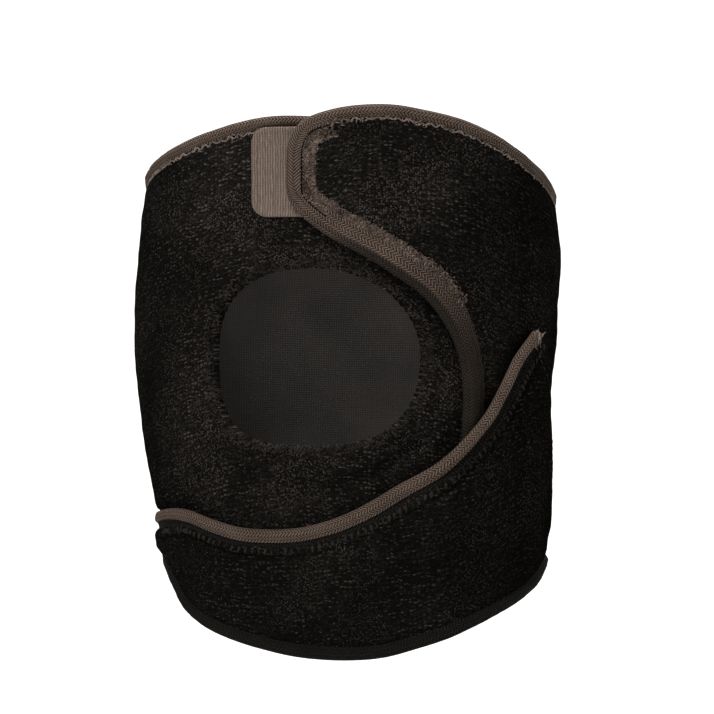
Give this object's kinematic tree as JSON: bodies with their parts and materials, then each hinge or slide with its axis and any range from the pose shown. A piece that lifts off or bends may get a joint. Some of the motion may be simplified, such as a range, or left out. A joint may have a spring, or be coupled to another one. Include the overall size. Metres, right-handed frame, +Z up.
{
  "type": "open-patella wraparound knee brace",
  "caption": "Wraparound fabric knee brace with a kneecap opening and wings that cross above and below it, their edges bound in knitted tape.",
  "frame": {"origin": "on the leg's axis inside the brace, at the height of the kneecap opening's centre, where the leg holds the brace", "axes": "+Z up the leg, towards the thigh; -Y out of the kneecap opening; +X towards the side panel that both wings come from"},
  "size_m": [0.139, 0.1328, 0.1732],
  "materials": {
    "loop_fabric": "matte brushed loop knit over foam rubber",
    "edge_tape": "matte grey-brown knitted tape",
    "dark_tape": "matte charcoal knitted tape",
    "hook_tape": "ribbed grey-brown hook tape"
  },
  "bodies": {
    "root": {"body_panel": "loop_fabric", "body_top_binding": "edge_tape", "body_bottom_binding": "dark_tape", "upper_wing": "loop_fabric", "upper_wing_binding": "edge_tape", "upper_hook_tab": "hook_tape", "lower_wing": "loop_fabric", "lower_wing_binding": "edge_tape", "lower_hook_tab": "hook_tape"}
  },
  "joints": []
}
